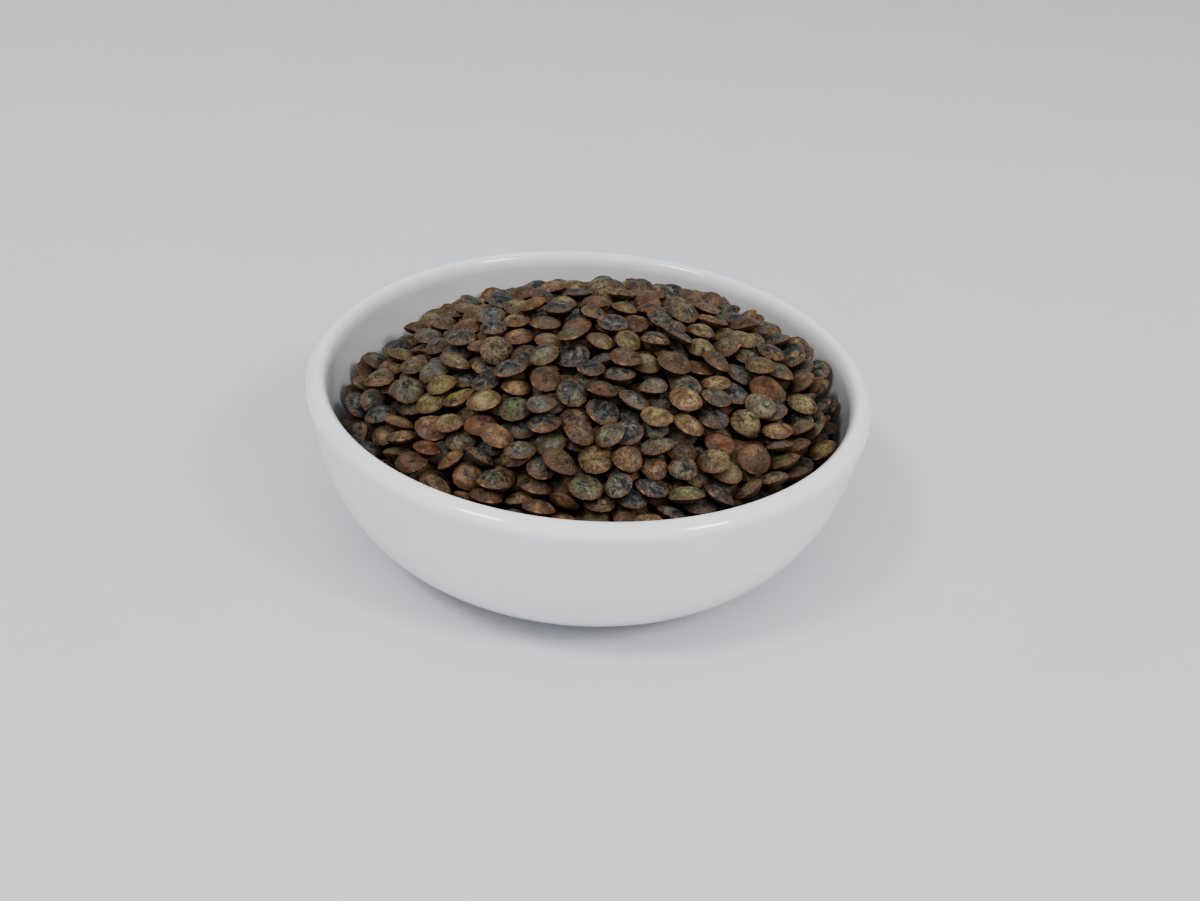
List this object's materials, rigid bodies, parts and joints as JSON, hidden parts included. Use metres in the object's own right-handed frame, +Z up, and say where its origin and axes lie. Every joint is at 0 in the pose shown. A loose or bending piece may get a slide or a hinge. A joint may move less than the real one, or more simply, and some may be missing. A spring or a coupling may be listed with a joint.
{
  "type": "bowl of dry lentils",
  "caption": "Round bowl of white-glazed ceramic with a rounded lip and a low foot, heaped with dry green-brown lentils.",
  "frame": {"origin": "on the ground, under the middle of the bowl's foot", "axes": "+Z up; +X towards the side where the heap reaches nearly to the rim; -Y is the side that the picture shows"},
  "size_m": [0.094, 0.094, 0.039],
  "materials": {
    "white_glaze": "gloss",
    "lentil_skin": "dry, matt, mottled seed skin"
  },
  "bodies": {
    "root": {"bowl": "white_glaze", "lentils": "lentil_skin"}
  },
  "joints": []
}
